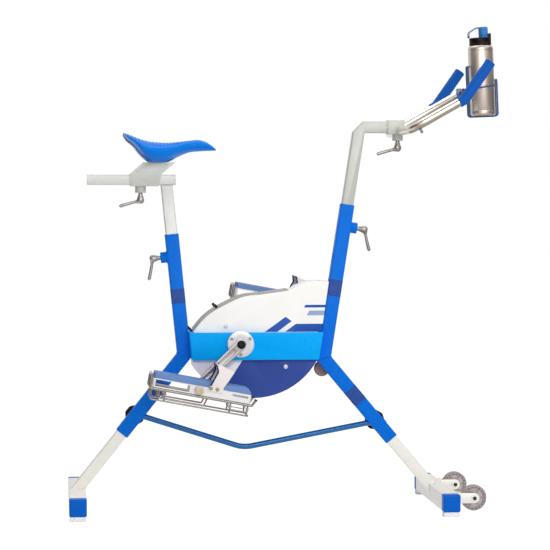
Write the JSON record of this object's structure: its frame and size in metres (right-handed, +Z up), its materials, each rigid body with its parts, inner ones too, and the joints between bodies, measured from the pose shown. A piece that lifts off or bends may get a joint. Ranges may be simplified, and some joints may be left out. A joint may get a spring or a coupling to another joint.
{
  "type": "aqua bike",
  "caption": "Pool exercise bike with splayed telescopic legs, enclosed paddle drive, strapped foot trays, sliding saddle, raised hand grips and a drinks bottle.",
  "frame": {"origin": "on the floor, under the middle of the bounding box", "axes": "+X forward towards the handlebar, +Y towards the rider's left, +Z up"},
  "size_m": [1.273, 0.55, 1.4202],
  "materials": {
    "blue_paint": "gloss blue powder coat",
    "beam_paint": "gloss light blue powder coat",
    "silver_tube": "matt silver",
    "stainless": "brushed",
    "white_shell": "satin",
    "saddle_blue": "gloss moulded foam skin",
    "cap_blue": "satin",
    "grip_blue": "matt foam",
    "pad_rubber": "matt",
    "wheel_grey": "satin translucent",
    "knob_black": "satin",
    "tray_white": "satin",
    "cage_blue": "gloss coat on wire",
    "spout_blue": "satin"
  },
  "bodies": {
    "frame": {"rear_upright": "blue_paint", "front_upright": "blue_paint", "rear_leg_sleeve": "blue_paint", "front_leg_sleeve": "blue_paint", "beam": "beam_paint", "stay_bar": "blue_paint", "corner_bumper": "knob_black", "near_shell": "white_shell", "far_shell": "white_shell", "near_bearing": "stainless", "far_bearing": "stainless"},
    "rear_leg": {"rear_leg": "silver_tube", "rear_foot_bar": "silver_tube", "rear_near_foot_cap": "cap_blue", "rear_far_foot_cap": "cap_blue", "rear_near_foot_pad": "pad_rubber", "rear_far_foot_pad": "pad_rubber"},
    "front_leg": {"front_leg": "silver_tube", "front_foot_bar": "silver_tube", "front_near_foot_cap": "cap_blue", "front_far_foot_cap": "cap_blue", "front_near_foot_pad": "pad_rubber", "front_far_foot_pad": "pad_rubber", "near_wheel_fork": "silver_tube", "far_wheel_fork": "silver_tube"},
    "near_wheel": {"near_wheel": "wheel_grey"},
    "far_wheel": {"far_wheel": "wheel_grey"},
    "rear_leg_knob": {"rear_leg_knob": "knob_black"},
    "front_leg_knob": {"front_leg_knob": "knob_black"},
    "seat_post": {"seat_post": "silver_tube", "seat_bar": "silver_tube"},
    "seat_post_lever": {"seat_post_lever": "silver_tube"},
    "saddle_slider": {"saddle_slider": "silver_tube", "saddle": "saddle_blue"},
    "saddle_lever": {"saddle_lever": "silver_tube"},
    "handlebar_post": {"handlebar_post": "silver_tube"},
    "handlebar_post_lever": {"handlebar_post_lever": "silver_tube"},
    "handlebar_slider": {"handlebar_slider": "silver_tube", "near_bar_arm": "stainless", "far_bar_arm": "stainless", "near_grip": "grip_blue", "far_grip": "grip_blue", "bottle_tube": "stainless", "bottle_cage": "cage_blue"},
    "handlebar_lever": {"handlebar_lever": "silver_tube"},
    "bottle": {"bottle_body": "stainless", "bottle_collar": "knob_black"},
    "bottle_lid": {"bottle_lid": "spout_blue"},
    "crank": {"drive_axle": "stainless", "near_crank": "stainless", "far_crank": "stainless"},
    "near_pedal": {"near_pedal_tray": "tray_white", "near_pedal_frame": "silver_tube", "near_pedal_strap": "tray_white"},
    "far_pedal": {"far_pedal_tray": "tray_white", "far_pedal_frame": "silver_tube", "far_pedal_strap": "tray_white"}
  },
  "joints": [
    {"name": "seat_height", "type": "slide", "parent": "frame", "child": "seat_post", "axis": [-0.1011, 0, 0.9949], "range_m": [-0.06, 0.1]},
    {"name": "saddle_reach", "type": "slide", "parent": "seat_post", "child": "saddle_slider", "axis": [-1, 0, 0], "range_m": [0, 0.1]},
    {"name": "handlebar_height", "type": "slide", "parent": "frame", "child": "handlebar_post", "axis": [0.153, 0, 0.9882], "range_m": [-0.08, 0.1]},
    {"name": "handlebar_reach", "type": "slide", "parent": "handlebar_post", "child": "handlebar_slider", "axis": [1, 0, 0], "range_m": [-0.02, 0.01]},
    {"name": "rear_leg_length", "type": "slide", "parent": "frame", "child": "rear_leg", "axis": [-0.6252, 0, -0.7804], "range_m": [-0.05, 0.06]},
    {"name": "front_leg_length", "type": "slide", "parent": "frame", "child": "front_leg", "axis": [0.6428, 0, -0.766], "range_m": [-0.05, 0.06]},
    {"name": "seat_post_clamp", "type": "hinge", "parent": "frame", "child": "seat_post_lever", "pos_m": [-0.34682, 0, 0.7395], "axis": [-0.9949, 0, -0.1011], "range_deg": [-120, 120]},
    {"name": "handlebar_post_clamp", "type": "hinge", "parent": "frame", "child": "handlebar_post_lever", "pos_m": [0.19558, 0, 0.8263], "axis": [0.9882, 0, -0.153], "range_deg": [-120, 120]},
    {"name": "saddle_clamp", "type": "hinge", "parent": "saddle_slider", "child": "saddle_lever", "pos_m": [-0.42442, 0, 0.9475], "axis": [0, 0, -1], "range_deg": [-100, 100]},
    {"name": "handlebar_clamp", "type": "hinge", "parent": "handlebar_slider", "child": "handlebar_lever", "pos_m": [0.33558, 0, 1.1015], "axis": [0, 0, -1], "range_deg": [-120, 120]},
    {"name": "rear_leg_clamp", "type": "hinge", "parent": "frame", "child": "rear_leg_knob", "pos_m": [-0.44062, 0.02, 0.2723], "axis": [0, 1, 0], "range_deg": [-180, 180]},
    {"name": "front_leg_clamp", "type": "hinge", "parent": "frame", "child": "front_leg_knob", "pos_m": [0.27308, 0.02, 0.2524], "axis": [0, 1, 0], "range_deg": [-180, 180]},
    {"name": "crank_turn", "type": "hinge", "parent": "frame", "child": "crank", "pos_m": [-0.13542, 0, 0.487], "axis": [0, 1, 0], "continuous": true},
    {"name": "near_pedal_turn", "type": "hinge", "parent": "crank", "child": "near_pedal", "pos_m": [-0.26518, -0.16, 0.36515], "axis": [0, 1, 0], "continuous": true},
    {"name": "far_pedal_turn", "type": "hinge", "parent": "crank", "child": "far_pedal", "pos_m": [-0.00566, 0.16, 0.60885], "axis": [0, 1, 0], "continuous": true},
    {"name": "near_wheel_turn", "type": "hinge", "parent": "front_leg", "child": "near_wheel", "pos_m": [0.53608, -0.163, 0.042], "axis": [0, 1, 0], "continuous": true},
    {"name": "far_wheel_turn", "type": "hinge", "parent": "front_leg", "child": "far_wheel", "pos_m": [0.53608, 0.163, 0.042], "axis": [0, 1, 0], "continuous": true},
    {"name": "bottle_lift", "type": "slide", "parent": "handlebar_slider", "child": "bottle", "axis": [-0.0419, 0, 0.9991], "range_m": [0, 0.18]},
    {"name": "lid_flip", "type": "hinge", "parent": "bottle", "child": "bottle_lid", "pos_m": [0.60643, 0, 1.4016], "axis": [0, 1, 0], "range_deg": [0, 90]}
  ]
}
